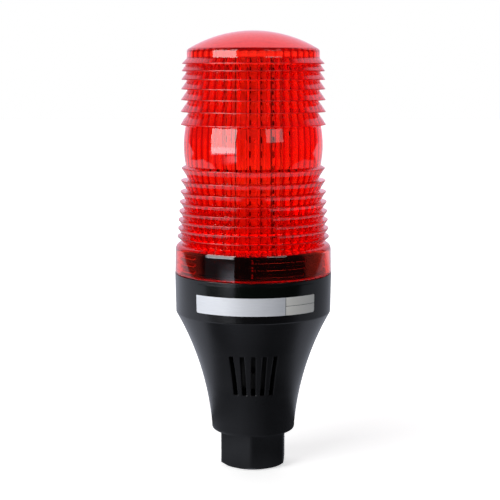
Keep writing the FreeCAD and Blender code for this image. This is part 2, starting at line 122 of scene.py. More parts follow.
def bell():
    """The turned wall as one closed section carried round the axis. Columns beside a slot keep a fixed
    distance d from the slot's middle plane: angle = slot angle + arcsin(d / radius). Slot quads are left
    out on both faces of the wall, walls join the two rims, and rows and columns close to a slot keep the
    shading clean."""
    guide = FOOT_Z + 3.3
    low = [(LEAD_R, NECK_H + 0.5), (LEAD_R, NECK_H), (flare(FOOT_Z), NECK_H), (flare(guide), guide)]
    low = rounded(low, [LEAD_ROUND, FOOT_ROUND], 7)[:-1]
    slot_z = np.linspace(SLOT_LOW, SLOT_HIGH, SLOT_ROWS)
    close = SLOT_EDGE * np.array([1, 3])
    below = np.append(np.linspace(FOOT_Z + 1.9, SLOT_LOW - SLOT_CLEAR, 7), SLOT_LOW - close[::-1])
    above = np.append(SLOT_HIGH + close, np.linspace(SLOT_HIGH + SLOT_CLEAR, BAND_Z - 1.2, 7))
    out_z = np.concatenate([below, slot_z, above])
    over = np.linspace(BAND_Z + 0.2, SLOT_HIGH + 0.4, 7)
    under = np.linspace(SLOT_LOW - 0.4, FLOOR_Z + 1, 6)
    in_z = np.concatenate([over, slot_z[::-1], under])
    crest = [(flare(BAND_Z - 0.8), BAND_Z - 0.8), (flare(BAND_Z), BAND_Z), (BAND_TOP_R, RIM_Z),
             (BAND_BORE_R, RIM_Z), (BAND_BORE_R, BAND_Z + 1.6)]
    crest = rounded(crest, [BAND_ROUND, RIM_ROUND, BAND_ROUND])
    floor = [(flare(FLOOR_Z, WALL), FLOOR_Z), (LEAD_R, FLOOR_Z), (LEAD_R, FLOOR_Z - 1)]
    floor = rounded(floor, FLOOR_ROUND)
    outside, inside = np.stack([flare(out_z), out_z], 1), np.stack([flare(in_z, WALL), in_z], 1)
    section = np.concatenate([low, outside, crest, inside, floor])
    out_first, in_first = len(low) + len(below), len(low) + len(out_z) + len(crest) + len(over)

    rest = SLOT_ANGLES[-1] + SLOT_PITCH / 2
    plain = np.append(SLOT_ANGLES[:-1] + SLOT_PITCH / 2, np.linspace(rest, 180 - rest, PLAIN_COLUMNS))
    angle = np.append(np.repeat(SLOT_ANGLES, len(SLOT_COLUMNS)), plain)
    away = np.append(np.tile(SLOT_COLUMNS, len(SLOT_ANGLES)), np.zeros(len(plain)))
    order = np.argsort(angle + np.degrees(np.arcsin(away / SLOT_LEAST_R)))
    angle, away = np.radians(angle[order]), away[order]
    r, z = section[:, :1], section[:, 1:]
    theta = angle + np.arcsin(away / np.maximum(r, SLOT_LEAST_R))
    in_slot = np.zeros((len(section), 1))
    in_slot[out_first:out_first + SLOT_ROWS] = 1
    r = r - SLOT_EDGE * in_slot * (np.abs(away) == SLOT_HALF)
    points = np.stack([r * np.cos(theta), r * np.sin(theta), np.broadcast_to(z, theta.shape)], -1)

    n, m = theta.shape
    left = np.flatnonzero(away == -SLOT_HALF)
    keep = np.ones((n, m), bool)
    for first in (out_first, in_first):
        keep[first:first + SLOT_ROWS - 1, left] = False
    row = np.arange(SLOT_ROWS)[:, None]
    out_rows, in_rows = (out_first + row) * m, (in_first + row[::-1]) * m
    a, b, c, d = out_rows + left, out_rows + left + 1, in_rows + left + 1, in_rows + left
    walls = [np.stack([a[:-1], d[:-1], d[1:], a[1:]], -1), np.stack([b[1:], c[1:], c[:-1], b[:-1]], -1),
             np.stack([a[:1], b[:1], c[:1], d[:1]], -1), np.stack([d[-1:], c[-1:], b[-1:], a[-1:]], -1)]
    walls = [wall.reshape(-1, 4) for wall in walls]
    return points.reshape(-1, 3), np.concatenate([ring_quads(n, m, True)[keep]] + walls)


NECK_TOP, NECK_MIDDLE, NECK_FLAT, NECK_EDGE, NECK_TURN = 16.4, 8.0, 14.1, 2.2, -4.0
NECK_END_R, NECK_END_SLOPE, NECK_END_RIM = 14.3, 0.58, 0.34
POLE_R, POLE_DEPTH, BORE_ROUNDS = 10.48, 13.0, (0.1, 0.5, 0.3, 0.7)


def neck():
    """A tube whose outside is a hexagon with rounded edges: radius = flat / cos(angle from the face's
    middle), or the edge's arc near a corner. The lower end is cut back to a cone, as on a nut, and the
    top stands in the foot of the bell."""
    near_corner, on_face = [-4, -2.6, -1.3, 0, 1.3, 2.6, 4], [10, 16, 22, 30, 38, 44, 50]
    offset = np.radians(np.tile(near_corner + on_face, 6))
    corner = np.radians(NECK_TURN - 90 + np.repeat(60 * np.arange(6), len(near_corner + on_face)))
    theta, away = corner + offset, np.minimum(np.abs(offset), np.pi / 3 - np.abs(offset))
    centre = (NECK_FLAT - NECK_EDGE) / np.cos(np.pi / 6)
    arc = centre * np.cos(away) + np.sqrt(np.maximum(NECK_EDGE ** 2 - (centre * np.sin(away)) ** 2, 0))
    touch = np.arctan2(NECK_EDGE * 0.5, centre + NECK_EDGE * np.cos(np.pi / 6))
    six = np.where(away < touch + 1e-9, arc, NECK_FLAT / np.cos(np.pi / 6 - away))
    end = np.minimum(six, NECK_END_R)
    cut = (six - end) * NECK_END_SLOPE + NECK_END_RIM
    bore = [(LEAD_R + 0.5, NECK_TOP), (LEAD_R, NECK_H), (LEAD_R, POLE_DEPTH), (POLE_R, POLE_DEPTH),
            (POLE_R, 0), (POLE_R + 1.5, 0)]
    bore = rounded(bore, BORE_ROUNDS)
    edge_in, edge_up = np.array([[0.28], [0.1], [0.01]]), np.array([[0], [0.07], [0.28]])
    one = np.ones_like(six)
    r = np.concatenate([bore[:, :1] * one, end - edge_in, [six, six, six]])
    z = np.concatenate([bore[:, 1:] * one, edge_up * one, [cut, NECK_MIDDLE * one, NECK_TOP * one]])
    points = np.stack([r * np.cos(theta), r * np.sin(theta), z], -1).reshape(-1, 3)
    return points, ring_quads(*r.shape, True).reshape(-1, 4)


def turned(section, columns):
    """A closed section of (r, z) points carried round the Z axis in equal steps."""
    theta = np.linspace(0, 2 * np.pi, columns, endpoint=False)
    r, z = np.asarray(section, float).T[:, :, None]
    points = np.stack(np.broadcast_arrays(r * np.cos(theta), r * np.sin(theta), z), -1)
    return points.reshape(-1, 3), ring_quads(len(section), columns, True).reshape(-1, 4)


def prism(outline, low, high):
    """A flat outline, counter-clockwise, drawn up from low to high: its points, its sides and its ends."""
    flat = np.asarray(outline, float)
    n = len(flat)
    points = np.concatenate([np.c_[flat, np.full(n, low)], np.c_[flat, np.full(n, high)]])
    k = np.arange(n)
    after = (k + 1) % n
    return points, np.stack([k, after, after + n, k + n], -1), np.stack([k[::-1], k + n])


def gathered(shells):
    """Several shells, each its points and then one or more groups of like faces, as one list of points
    and one of faces: the numbers in a shell's faces count on from the shells before it."""
    starts = np.cumsum([0] + [len(points) for points, *_ in shells[:-1]])
    faces = []
    for (_, *groups), start in zip(shells, starts):
        for group in groups:
            faces += (np.asarray(group) + start).tolist()
    return np.concatenate([points for points, *_ in shells]), faces


POST_R, POST_LOW, POST_TOP, POST_CIRCLE, POST_ANGLES = 3.6, 62.0, 80.0, 26.0, (90, 210, 330)
POST_TAPER, POST_END_R, PILOT_R, PILOT_LOW, AXIS_R = 5.0, 0.8, 1.55, 68.0, 0.02
post, post_faces = turned([(AXIS_R, PILOT_LOW), (PILOT_R, PILOT_LOW), (PILOT_R, POST_TOP),
                           (POST_R, POST_TOP), (POST_R, POST_LOW), (POST_END_R, POST_LOW - POST_TAPER),
                           (AXIS_R, POST_LOW - POST_TAPER)], 32)
posts = [(post + (POST_CIRCLE * np.cos(a), POST_CIRCLE * np.sin(a), 0), post_faces)
         for a in np.radians(POST_ANGLES)]
RAIL_OUT, RAIL_IN, RAIL_GROOVE = 13.2, 8.8, 11.0
RAIL_FRONT, RAIL_BACK, RAIL_LIP = -11.95, -6.05, 2.0
RAIL_LOW, RAIL_STEP, RAIL_TOP = 17.0, 36.0, 50.0
channel = np.array([(RAIL_OUT, RAIL_FRONT), (RAIL_OUT, RAIL_BACK),
                    (RAIL_IN, RAIL_BACK), (RAIL_IN, RAIL_BACK - RAIL_LIP),
                    (RAIL_GROOVE, RAIL_BACK - RAIL_LIP), (RAIL_GROOVE, RAIL_FRONT + RAIL_LIP),
                    (RAIL_IN, RAIL_FRONT + RAIL_LIP), (RAIL_IN, RAIL_FRONT)])
block = channel[[0, 1, 2, -1]]
rails = [prism((outline * (turn, 1))[::turn], low, high) for turn in (1, -1)
         for outline, low, high in ((block, RAIL_LOW, RAIL_STEP), (channel, RAIL_STEP, RAIL_TOP))]

# Satin black ABS: the eroded grain scatters highlights into a soft sheen, and the flow of the melt leaves
# the gloss a little uneven. The true grain is about 0.1 mm, drawn here at 0.5 mm so that it shows.
ERODED_GRAIN, MELT_FLOW = 0.5, 22.0
satin_black, tree = bare_material("satin_black_abs")
place = add(tree, "ShaderNodeTexCoord").outputs["Object"]
grain = {"Vector": place, "Scale": 1 / (ERODED_GRAIN * MM), "Detail": 3.0, "Roughness": 0.6}
grain = add(tree, "ShaderNodeTexNoise", grain).outputs["Fac"]
flow = {"Vector": place, "Scale": 1 / (MELT_FLOW * MM), "Detail": 2.0}
flow = add(tree, "ShaderNodeTexNoise", flow).outputs["Fac"]
gloss = {"Value": flow, "From Min": 0.3, "From Max": 0.7, "To Min": 0.2, "To Max": 0.26}
gloss = add(tree, "ShaderNodeMapRange", gloss).outputs["Result"]
tone = add(tree, "ShaderNodeValToRGB", {"Fac": grain})
tone.color_ramp.elements[0].color = linear("#050506")
tone.color_ramp.elements[1].color = linear("#0b0b0c")
bump = add(tree, "ShaderNodeBump", {"Height": grain, "Strength": 0.25, "Distance": 0.03 * MM})
shader = add(tree, "ShaderNodeBsdfPrincipled", {"Base Color": tone.outputs["Color"], "Roughness": gloss,
                                                "Normal": bump.outputs["Normal"], "IOR": 1.53})
add(tree, "ShaderNodeOutputMaterial", {"Surface": shader.outputs["BSDF"]})
housing = solid("bell_housing", *gathered([bell(), neck()] + posts + rails), satin_black)
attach(housing, "base")
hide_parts("base_housing")

# Pole thread: the half-inch pipe thread moulded into the neck, a ridge that winds up the socket's wall.
# It starts and ends with a run-out, so that the pole finds its way in.
PITCH, THREAD_DEPTH, THREAD_LOW, THREAD_TURNS, THREAD_STEPS = 1.814, 1.16, 1.6, 5.4, 420
RIDGE_FOOT, RIDGE_TIP, RIDGE_SUNK, RUN_OUT = 0.82, 0.18, 0.05, 0.5


def thread():
    """A trapezoid ridge carried along a helix: angle = 2 pi t, height = low + pitch t, and the ridge's
    height off the wall swells from nothing over the first half turn and sinks back over the last."""
    t = np.linspace(0, THREAD_TURNS, THREAD_STEPS)[:, None]
    swell = np.clip(np.minimum(t, THREAD_TURNS - t) / RUN_OUT, 0.02, 1.0)
    across = np.array([RIDGE_FOOT, RIDGE_TIP, -RIDGE_TIP, -RIDGE_FOOT])
    inward = np.array([-RIDGE_SUNK, 1.0, 1.0, -RIDGE_SUNK]) * THREAD_DEPTH
    r = POLE_R - inward * swell
    z = THREAD_LOW + PITCH * t + across
    points = np.stack([r * np.cos(2 * np.pi * t), r * np.sin(2 * np.pi * t), z], -1).reshape(-1, 3)
    i, j = np.meshgrid(np.arange(THREAD_STEPS - 1), np.arange(4), indexing="ij")
    i1, j1 = i + 1, (j + 1) % 4
    quads = np.stack([i * 4 + j, i1 * 4 + j, i1 * 4 + j1, i * 4 + j1], -1).reshape(-1, 4)
    ends = [[3, 2, 1, 0], list(range(len(points) - 4, len(points)))]
    return points, quads.tolist() + ends


pole_thread = solid("pole_thread", *thread(), satin_black)
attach(pole_thread, "base")

# Rating label: a silver polyester foil stuck around the front of the band, printed with a black head
# strip and ruled into plain empty fields, of which the right-hand ones have a cream undercoat. Its
# corners are rounded by the cutting die.
LABEL_LOW, LABEL_HIGH, LABEL_LEFT, LABEL_RIGHT, LABEL_CORNER = 73.9, 86.4, -44.4, 48.6, 0.8
LABEL_R, LABEL_T, GLUE_T, LABEL_COLUMNS, LABEL_ROWS, CORNER_COLUMNS = 35.0, 0.2, 0.02, 90, 9, 7


def label_sheet():
    """A strip of cone over angle and height. The height range shrinks near both ends by the sag of the
    corner's arc, and the back follows the front one thickness behind. Also gives each point's place on
    the flat strip."""
    width = np.radians(LABEL_RIGHT - LABEL_LEFT) * LABEL_R
    end = LABEL_CORNER * (1 - np.cos(np.linspace(0, np.pi / 2, CORNER_COLUMNS)))
    middle = np.linspace(LABEL_CORNER, width - LABEL_CORNER, LABEL_COLUMNS)[1:-1]
    u = np.concatenate([end, middle, width - end[::-1]])[:, None]
    near = np.clip(np.minimum(u, width - u), 0, LABEL_CORNER)
    sag = LABEL_CORNER - np.sqrt(LABEL_CORNER ** 2 - (LABEL_CORNER - near) ** 2)
    z = LABEL_LOW + sag + (LABEL_HIGH - LABEL_LOW - 2 * sag) * np.linspace(0, 1, LABEL_ROWS)
    theta = np.radians(LABEL_LEFT - 90) + u / LABEL_R
    wall = flare(BAND_Z) + (BAND_TOP_R - flare(BAND_Z)) * (z - BAND_Z) / (RIM_Z - BAND_Z)
    back, front = [np.stack([r * np.cos(theta), r * np.sin(theta), z], -1)
                   for r in (wall + GLUE_T, wall + GLUE_T + LABEL_T)]
    n, m = z.shape
    i, j = np.meshgrid(np.arange(n - 1), np.arange(m - 1), indexing="ij")
    i1, j1 = i + 1, j + 1
    quads = np.stack([i * m + j, i1 * m + j, i1 * m + j1, i * m + j1], -1).reshape(-1, 4)
    low, high = np.arange(n) * m, np.arange(n) * m + m - 1
    rim = np.concatenate([low, low[-1] + np.arange(1, m), high[-2::-1], np.arange(m - 2, 0, -1)])
    after = np.roll(rim, -1)
    edge = np.stack([rim, after, after + n * m, rim + n * m], -1)
    faces = np.concatenate([quads[:, ::-1], quads + n * m, edge])
    flat = np.stack(np.broadcast_arrays(u, z - LABEL_LOW), -1).reshape(-1, 2)
    return np.concatenate([back, front]).reshape(-1, 3), faces.tolist(), np.tile(flat, (2, 1))


# Printed silver foil: a fine brushed grain, drawn coarser than the true one so that it shows, gives a soft
# metal sheen, a cream undercoat dulls it, and black ink lies on it as a glossy film. Lines are set out in
# millimetres on the label's own flat map, where one unit is 100 mm.
FLAT_UNIT = 0.01
HEAD_LINE, CELL_LINE, HALF_LINE, RULE, THIN_RULE = 7.8, 41.3, 4.0, 0.22, 0.176
BRUSH_LONG, BRUSH_WIDE = 6.0, 0.12
foil, tree = bare_material("printed_silver_foil")
flat = add(tree, "ShaderNodeUVMap", uv_map="flat").outputs["UV"]
split = add(tree, "ShaderNodeSeparateXYZ", {"Vector": flat})
across, up = split.outputs["X"], split.outputs["Y"]
head = {0: up, 1: HEAD_LINE * FLAT_UNIT}
head = add(tree, "ShaderNodeMath", head, operation="GREATER_THAN").outputs[0]
cell = {0: across, 1: CELL_LINE * FLAT_UNIT, 2: RULE / 2 * FLAT_UNIT}
cell = add(tree, "ShaderNodeMath", cell, operation="COMPARE").outputs[0]
right = {0: across, 1: CELL_LINE * FLAT_UNIT}
right = add(tree, "ShaderNodeMath", right, operation="GREATER_THAN").outputs[0]
half_line = {0: up, 1: HALF_LINE * FLAT_UNIT, 2: THIN_RULE / 2 * FLAT_UNIT}
half_line = add(tree, "ShaderNodeMath", half_line, operation="COMPARE").outputs[0]
half_line = add(tree, "ShaderNodeMath", {0: half_line, 1: right}, operation="MULTIPLY").outputs[0]
ink = add(tree, "ShaderNodeMath", {0: cell, 1: half_line}, operation="MAXIMUM").outputs[0]
ink = add(tree, "ShaderNodeMath", {0: head, 1: ink}, operation="MAXIMUM").outputs[0]
stretch = {"Vector": flat, "Scale": (1 / (BRUSH_LONG * FLAT_UNIT), 1 / (BRUSH_WIDE * FLAT_UNIT), 1.0)}
stretch = add(tree, "ShaderNodeMapping", stretch).outputs["Vector"]
brush = add(tree, "ShaderNodeTexNoise", {"Vector": stretch, "Scale": 1.0, "Detail": 2.0})
silver = add(tree, "ShaderNodeValToRGB", {"Fac": brush.outputs["Fac"]})
silver.color_ramp.elements[0].color = linear("#c8cbd0")
silver.color_ramp.elements[1].color = linear("#e6e8ec")
cream = add(tree, "ShaderNodeMapRange", {"Value": right, "To Max": 0.85}).outputs["Result"]
field = {"Factor": cream, 6: silver.outputs["Color"], 7: linear("#f7f5ec")}
field = add(tree, "ShaderNodeMix", field, data_type="RGBA").outputs[2]
printed = add(tree, "ShaderNodeMix", {"Factor": ink, 6: field, 7: linear("#060a07")}, data_type="RGBA")
metal = add(tree, "ShaderNodeMapRange", {"Value": ink, "To Min": 0.12, "To Max": 0.0}).outputs["Result"]
film = add(tree, "ShaderNodeMapRange", {"Value": ink, "To Min": 0.4, "To Max": 0.16}).outputs["Result"]
shader = {"Base Color": printed.outputs[2], "Metallic": metal, "Roughness": film}
shader = add(tree, "ShaderNodeBsdfPrincipled", shader)
add(tree, "ShaderNodeOutputMaterial", {"Surface": shader.outputs["BSDF"]})
label_points, label_faces, label_flat = label_sheet()
label = solid("rating_foil", label_points, label_faces, foil, 40.0)
corner_of = np.empty(len(label.data.loops), int)
label.data.loops.foreach_get("vertex_index", corner_of)
label.data.uv_layers.new(name="flat").data.foreach_set("uv", (label_flat[corner_of] * FLAT_UNIT).ravel())
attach(label, "base")
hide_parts("rating_label")


# Driver board and its parts: a green glass-epoxy disc on the ring's lugs. The mains parts hang under it
# in the bell, the small ones lie on top, and the sounder stands in its rails behind the slots. Cases are
# moulded, sleeved or lacquered, and their grain is drawn coarser than the true one, so that it shows.
def cased(name, colour, roughness, grain_mm, depth=0.12, metallic=0.0, specular=0.5):
    """A moulded, lacquered or sintered case: one colour that a grain of the given size darkens and
    brightens by depth, with a trace of the same grain in its gloss and relief."""
    material, tree = bare_material(name)
    place = add(tree, "ShaderNodeTexCoord").outputs["Object"]
    grain = {"Vector": place, "Scale": 1 / (grain_mm * MM), "Detail": 3.0}
    grain = add(tree, "ShaderNodeTexNoise", grain).outputs["Fac"]
    shade = {"Value": grain, "From Min": 0.3, "From Max": 0.7, "To Min": 1 - depth, "To Max": 1 + depth}
    shade = add(tree, "ShaderNodeMapRange", shade).outputs["Result"]
    tint = {0: linear(colour)[:3], "Scale": shade}
    tint = add(tree, "ShaderNodeVectorMath", tint, operation="SCALE").outputs["Vector"]
    gloss = {"Value": grain, "To Min": roughness - 0.06, "To Max": roughness + 0.06}
    gloss = add(tree, "ShaderNodeMapRange", gloss).outputs["Result"]
    relief = {"Height": grain, "Strength": 0.2, "Distance": 0.04 * MM}
    relief = add(tree, "ShaderNodeBump", relief).outputs["Normal"]
    shader = {"Base Color": tint, "Roughness": gloss, "Normal": relief,
              "Metallic": metallic, "Specular IOR Level": specular}
    shader = add(tree, "ShaderNodeBsdfPrincipled", shader)
    add(tree, "ShaderNodeOutputMaterial", {"Surface": shader.outputs["BSDF"]})
    return material


def finish(material, *nodes):
    """Gives modelled nodes their finish."""
    for name in nodes:
        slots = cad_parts[name].data.materials
        slots.clear()
        slots.append(material)


solder_mask = cased("green_solder_mask", "#1c5a34", roughness=0.38, grain_mm=1.2)
black_nylon = cased("black_glass_filled_nylon", "#141416", roughness=0.48, grain_mm=0.4)
sounder_black = cased("matt_black_sounder_case", "#050506", roughness=0.8, grain_mm=0.4)
ferrite = cased("sintered_ferrite", "#3b3c3e", roughness=0.62, grain_mm=0.5)
yellow_tape = cased("yellow_polyester_tape", "#e0b02c", roughness=0.32, grain_mm=3.0)
sleeved_can = cased("sleeved_capacitor_can", "#1a2036", roughness=0.3, grain_mm=2.0)
yellow_case = cased("yellow_film_capacitor_case", "#dcb738", roughness=0.36, grain_mm=0.8)
black_epoxy = cased("black_moulded_epoxy", "#1b1b1c", roughness=0.52, grain_mm=0.3)
brown_can = cased("brown_fuse_can", "#5a3320", roughness=0.34, grain_mm=0.8)
blue_lacquer = cased("blue_varistor_lacquer", "#2450a0", roughness=0.26, grain_mm=1.6)
green_polyamide = cased("green_terminal_polyamide", "#2f8a4a", roughness=0.42, grain_mm=0.5)
tan_lacquer = cased("tan_resistor_lacquer", "#c9a774", roughness=0.3, grain_mm=0.9)
finish(solder_mask, "driver_board")
finish(black_nylon, "transformer_bobbin")
finish(sounder_black, "sounder_case")
finish(ferrite, "transformer_core")
finish(yellow_tape, "transformer_winding")
finish(sleeved_can, "bulk_capacitor", "smoothing_capacitor")
finish(yellow_case, "film_capacitor")
finish(black_epoxy, "bridge_rectifier", "controller_chip", "driver_transistor")
finish(brown_can, "fuse_can")
finish(blue_lacquer, "varistor")
finish(green_polyamide, "terminal_block")
finish(tan_lacquer, "resistors")

# Screws: cold-headed steel with pan heads, zinc-plated and passivated, which leaves a bright, faintly
# blue skin. They hold the ring, the tray and the tower, and the terminal's clamps have the same plating.
zinc = cased("blue_passivated_zinc", "#c3c8cc", roughness=0.3, grain_mm=0.35, depth=0.06, metallic=1.0)
finish(zinc, "ring_screws", "tray_screws", "carrier_screws", "terminal_screws")

# Lens ring and seal: a black ABS spigot that the lens turns onto, with two rows of lock ribs in four
# groups, and a soft black rubber ring around its foot. The ring is moulded with a dull skin, so it hardly
# shows in the lens.
dull_black = cased("dull_black_abs", "#040404", roughness=0.2, grain_mm=0.6, specular=0.1)
black_rubber = cased("black_nitrile_rubber", "#121213", roughness=0.7, grain_mm=0.6)
finish(dull_black, "mount_ring")
finish(black_rubber, "lens_seal")

# Reflector tray: a plate moulded in white ABS and screwed onto the ring, which it closes. It throws stray
# light back up into the lens. The tower's plug on the driver board is of the same white plastic.
white_abs = cased("white_reflector_abs", "#eeeeea", roughness=0.35, grain_mm=0.7, depth=0.03)
finish(white_abs, "reflector_tray", "led_connector")

# LED tower: a square black post with a white-lacquered board on each side, and a flat cap. Each LED is a
# white case with a pale yellow window of phosphor in silicone, and black chip resistors stand in a row
# beside them.
white_mask = cased("white_solder_mask", "#f2f2ee", roughness=0.34, grain_mm=1.2, depth=0.03)
phosphor = cased("white_led_case_and_phosphor", "#efe6b4", roughness=0.3, grain_mm=0.8, depth=0.05)
black_chip = cased("black_chip_resistor", "#171718", roughness=0.4, grain_mm=0.3)
finish(black_nylon, "led_carrier", "tower_cap")
finish(white_mask, "led_board_front", "led_board_right", "led_board_rear", "led_board_left")
finish(phosphor, "leds_front", "leds_right", "leds_rear", "leds_left")
finish(black_chip, "led_resistors")

# Lens: clear red polycarbonate, one moulding. Rings outside bend the light up and down to the level, 48
# upright flutes inside spread it sideways, and ribs in the collar lock it to the ring with a short turn.
LENS_LOW, ROOF_Z, COLLAR_TOP = 88.3, 99.3, 101.5
COLLAR_R, COLLAR_BORE, COLLAR_DRAFT, SHOULDER_R, LEAD_IN = 35.0, 33.0, 0.2, 2.9, 0.48
RIB_Z, RIB_H, RIB_FOOT, RIB_CREST = (97.1, 94.0, 90.9), 1.1, 0.76, 0.62
LOCK_START, LOCK_SPAN = -91.0, 42.0
FLUTES, FLUTE_STEPS, FLUTE_SAG = 48, 6, 0.6
INNER_R, INNER_LOW, INNER_TOP, INNER_TAPER, INNER_ROWS = 27.6, 98.8, 184.0, 1 / 96.2, 12
DOME_R, DOME_CENTRE, DOME_T, DOME_EDGE_R, DOME_ROWS = 55.5, 139.5, 2.3, 26.7, 12
CAP_R, CAP_LOW, CAP_HIGH, CAP_FILLET, CAP_ROUND = 29.27, 182.9, 186.25, 0.4, 0.5
WINDOW_R, WINDOW_LOW, WINDOW_HIGH, WINDOW_BULGE = 30.05, 136.0, 153.2, 0.85
LAND, TIP_EDGE, TIP_STEPS, GROOVE_R = 0.35, 0.05, 3, 31.5
LIP_ROUNDS, SHOULDER_ROWS, WINDOW_ROWS, CROWN_ROWS = (0.02, 0.2), 10, 14, 16
LOW_RINGS, LOW_TIP_Z, LOW_TIP_R, LOW_SLOPE = 8, 104.5, (33.88, 31.88), 0.63
HIGH_RINGS, HIGH_TIP_Z, HIGH_TIP_R, HIGH_SLOPE = 7, 180.8, (32.1, 31.3), 0.69
LOW_PITCH, LOW_GROWTH, HIGH_PITCH, HIGH_GROWTH = 3.7, 0.05, 3.2, 0.49


def ring_profile():
    """Corner points from the collar up to the dome. Below the window the tips' pitch grows with the
    square of their number, and above it the pitch shrinks evenly towards the top. Each ring has a flat
    face, a narrow land at its tip and a sloping face down to its root."""
    climb = LOW_PITCH + LOW_GROWTH * np.arange(LOW_RINGS - 1) ** 2
    tip_z = LOW_TIP_Z + np.append(0, np.cumsum(climb))
    tip_r = np.linspace(*LOW_TIP_R, LOW_RINGS)
    root_z = np.append(COLLAR_TOP, tip_z[:-1]) + LAND
    root_r = np.append(GROOVE_R, (tip_r - LOW_SLOPE * (tip_z - LAND - root_z))[1:])
    low = [np.stack([root_r, root_z], 1), np.stack([tip_r, tip_z - LAND], 1), np.stack([tip_r, tip_z], 1)]
    drop = HIGH_PITCH + HIGH_GROWTH * np.arange(HIGH_RINGS - 1)
    tip_z = HIGH_TIP_Z - np.append(0, np.cumsum(drop))[::-1]
    tip_r = np.linspace(*HIGH_TIP_R, HIGH_RINGS)
    root_z = np.append(tip_z[1:] - 2 * LAND, CAP_LOW)
    root_r = np.append((tip_r - HIGH_SLOPE * (root_z - tip_z))[:-1], CAP_R)
    high = [np.stack([tip_r, tip_z - LAND], 1), np.stack([tip_r, tip_z], 1), np.stack([root_r, root_z], 1)]
    return np.stack(low, 1).reshape(-1, 2), np.stack(high, 1).reshape(-1, 2)


